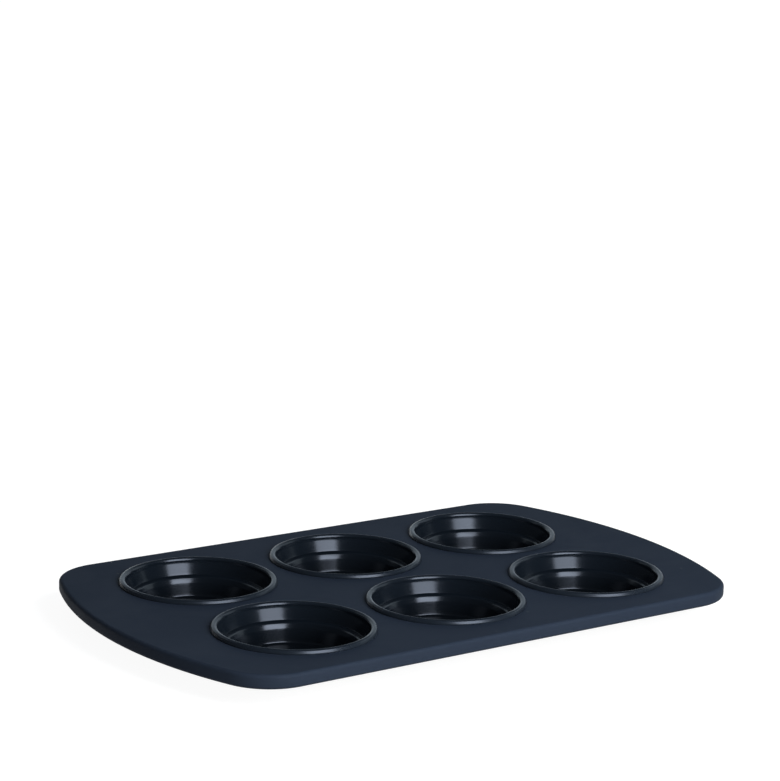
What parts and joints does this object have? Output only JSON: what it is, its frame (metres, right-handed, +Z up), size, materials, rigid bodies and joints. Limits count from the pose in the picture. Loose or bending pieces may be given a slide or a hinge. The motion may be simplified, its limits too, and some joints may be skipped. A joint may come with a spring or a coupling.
{
  "type": "silicone muffin pan",
  "caption": "Shallow silicone muffin pan: a flat matte deck with bowed ends and a thick rounded rim, and glossy round cups with a beaded mouth and a stepped wall.",
  "frame": {"origin": "middle of the pan, on the surface that the cups' bases stand on", "axes": "+X along the long side, +Y from the front long side to the back, +Z up out of the cups"},
  "size_m": [0.3114, 0.1922, 0.019],
  "materials": {
    "deck_silicone": "matte moulded silicone, dark slate",
    "cup_silicone": "glossy moulded silicone, black",
    "rim_steel": "drawn steel wire"
  },
  "bodies": {
    "root": {"deck": "deck_silicone", "rim_wire": "rim_steel", "cup_front_left": "cup_silicone", "cup_front_middle": "cup_silicone", "cup_front_right": "cup_silicone", "cup_back_left": "cup_silicone", "cup_back_middle": "cup_silicone", "cup_back_right": "cup_silicone"}
  },
  "joints": []
}
